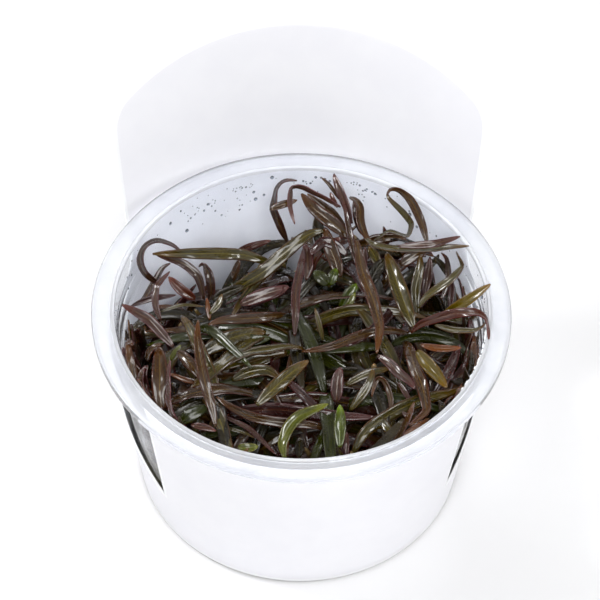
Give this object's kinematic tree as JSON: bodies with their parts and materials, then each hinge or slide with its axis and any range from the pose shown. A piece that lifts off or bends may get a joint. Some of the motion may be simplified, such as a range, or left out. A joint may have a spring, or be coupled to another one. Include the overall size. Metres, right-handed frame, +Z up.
{
  "type": "aquatic plant in culture cup",
  "caption": "Open clear plastic culture cup with a flat flange, holding gel and a clump of young narrow-leaved aquarium plants, in a card sleeve with a tall header.",
  "frame": {"origin": "centre of the cup's flat underside", "axes": "+Z up along the cup's axis, +Y towards the card's tall header, the front of the card faces -Y"},
  "size_m": [0.1, 0.1087, 0.0953],
  "materials": {
    "clear_plastic": "thin clear moulded plastic, slightly milky where it is thick",
    "white_card": "white printed card with a soft satin face",
    "gel": "cloudy nutrient gel, wet surface",
    "stem": "olive-brown plant stem",
    "brown_leaf": "olive-brown leaf with a paler midrib, wet gloss",
    "green_leaf": "green leaf, wet gloss",
    "yellow_leaf": "yellow-olive leaf, wet gloss",
    "orange_leaf": "orange-brown leaf, wet gloss",
    "red_leaf": "brown-red leaf, wet gloss",
    "pink_leaf": "pinkish brown leaf, wet gloss",
    "maroon_leaf": "dark maroon leaf, wet gloss"
  },
  "bodies": {
    "root": {"cup": "clear_plastic", "card_sleeve": "white_card", "growth_gel": "gel", "stem_back": "stem", "stem_center": "stem", "stem_front": "stem", "stem_left": "stem", "stem_left_front": "stem", "stem_right": "stem", "leaf_back_broad": "brown_leaf", "leaf_back_hook": "brown_leaf", "leaf_back_hump": "brown_leaf", "leaf_back_inner": "brown_leaf", "leaf_back_loop": "brown_leaf", "leaf_back_strap": "brown_leaf", "leaf_back_sweep": "brown_leaf", "leaf_back_tall": "brown_leaf", "leaf_back_tip": "brown_leaf", "leaf_center_green": "green_leaf", "leaf_center_level": "brown_leaf", "leaf_center_low": "brown_leaf", "leaf_center_red": "red_leaf", "leaf_center_right": "brown_leaf", "leaf_center_upright": "brown_leaf", "leaf_center_wide": "brown_leaf", "leaf_cross_left": "brown_leaf", "leaf_front_blade": "brown_leaf", "leaf_front_curve": "brown_leaf", "leaf_front_glossy": "brown_leaf", "leaf_front_green": "green_leaf", "leaf_front_level": "brown_leaf", "leaf_front_orange": "orange_leaf", "leaf_front_stub": "brown_leaf", "leaf_front_sweep": "brown_leaf", "leaf_left_arch": "brown_leaf", "leaf_left_broad": "brown_leaf", "leaf_left_curl": "brown_leaf", "leaf_left_dark": "brown_leaf", "leaf_left_long": "brown_leaf", "leaf_left_maroon": "maroon_leaf", "leaf_left_maroon_tip": "maroon_leaf", "leaf_left_mauve": "brown_leaf", "leaf_left_pink": "pink_leaf", "leaf_left_pink_low": "pink_leaf", "leaf_left_red_curve": "red_leaf", "leaf_left_rib": "brown_leaf", "leaf_left_stub": "brown_leaf", "leaf_right_bow": "brown_leaf", "leaf_right_loop": "brown_leaf", "leaf_right_loop_inner": "brown_leaf", "leaf_right_mauve": "brown_leaf", "leaf_right_olive_bow": "brown_leaf", "leaf_right_orange": "orange_leaf", "leaf_right_red": "red_leaf", "leaf_right_red_arch": "red_leaf", "leaf_right_shine": "brown_leaf", "leaf_right_sweep": "brown_leaf", "leaf_right_tip": "brown_leaf", "leaf_right_upright": "brown_leaf", "leaf_right_yellow": "yellow_leaf"}
  },
  "joints": []
}
